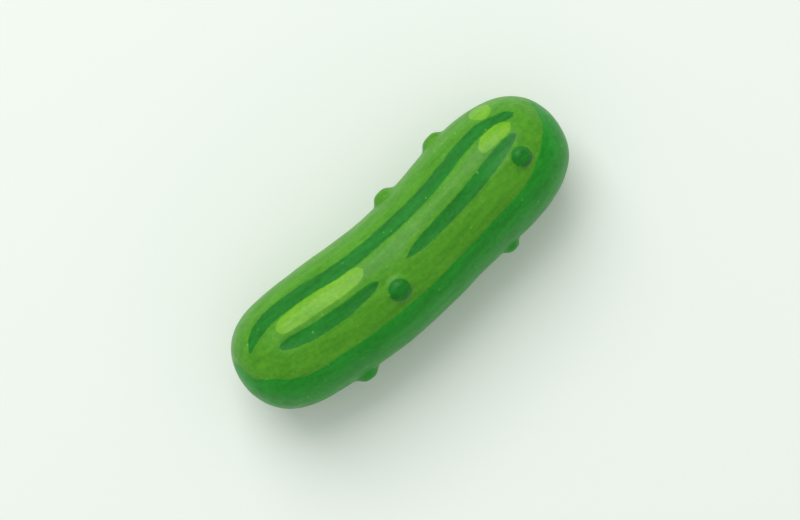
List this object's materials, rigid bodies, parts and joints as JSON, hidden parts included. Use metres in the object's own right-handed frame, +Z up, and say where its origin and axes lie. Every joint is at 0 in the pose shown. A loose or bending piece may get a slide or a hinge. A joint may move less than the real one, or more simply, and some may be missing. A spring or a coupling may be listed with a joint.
{
  "type": "gherkin cucumber",
  "caption": "Small warty gherkin cucumber as picked, blunt at both ends, slightly bent and lying on its side.",
  "frame": {"origin": "middle of the footprint, on the surface that the gherkin lies on", "axes": "+X along the gherkin towards its stem end, +Y towards the hollow side of its bend, +Z up"},
  "size_m": [0.06, 0.021, 0.0188],
  "materials": {
    "gherkin_skin": "satin"
  },
  "bodies": {
    "root": {"gherkin": "gherkin_skin"}
  },
  "joints": []
}
